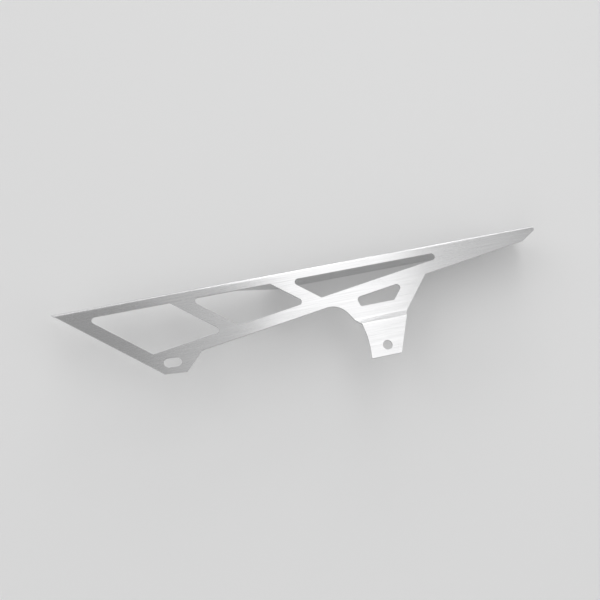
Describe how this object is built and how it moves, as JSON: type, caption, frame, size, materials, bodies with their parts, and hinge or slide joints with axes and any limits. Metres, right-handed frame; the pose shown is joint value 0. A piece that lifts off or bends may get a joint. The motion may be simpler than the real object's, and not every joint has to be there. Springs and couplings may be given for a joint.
{
  "type": "motorcycle chain guard",
  "caption": "Folded sheet-metal chain guard with a tapering truss of cut-out windows, a top flange over the chain, a slotted front lug and a stepped rear bolt tab.",
  "frame": {"origin": "centre of the rear bolt hole, on the back face of its tab", "axes": "+X along the top edge towards the tail, +Y up the side plate towards the top flange, +Z out of the outer face"},
  "size_m": [0.4354, 0.0939, 0.048],
  "materials": {
    "sheet": "brushed along its length"
  },
  "bodies": {
    "root": {"chain_guard": "sheet"}
  },
  "joints": []
}
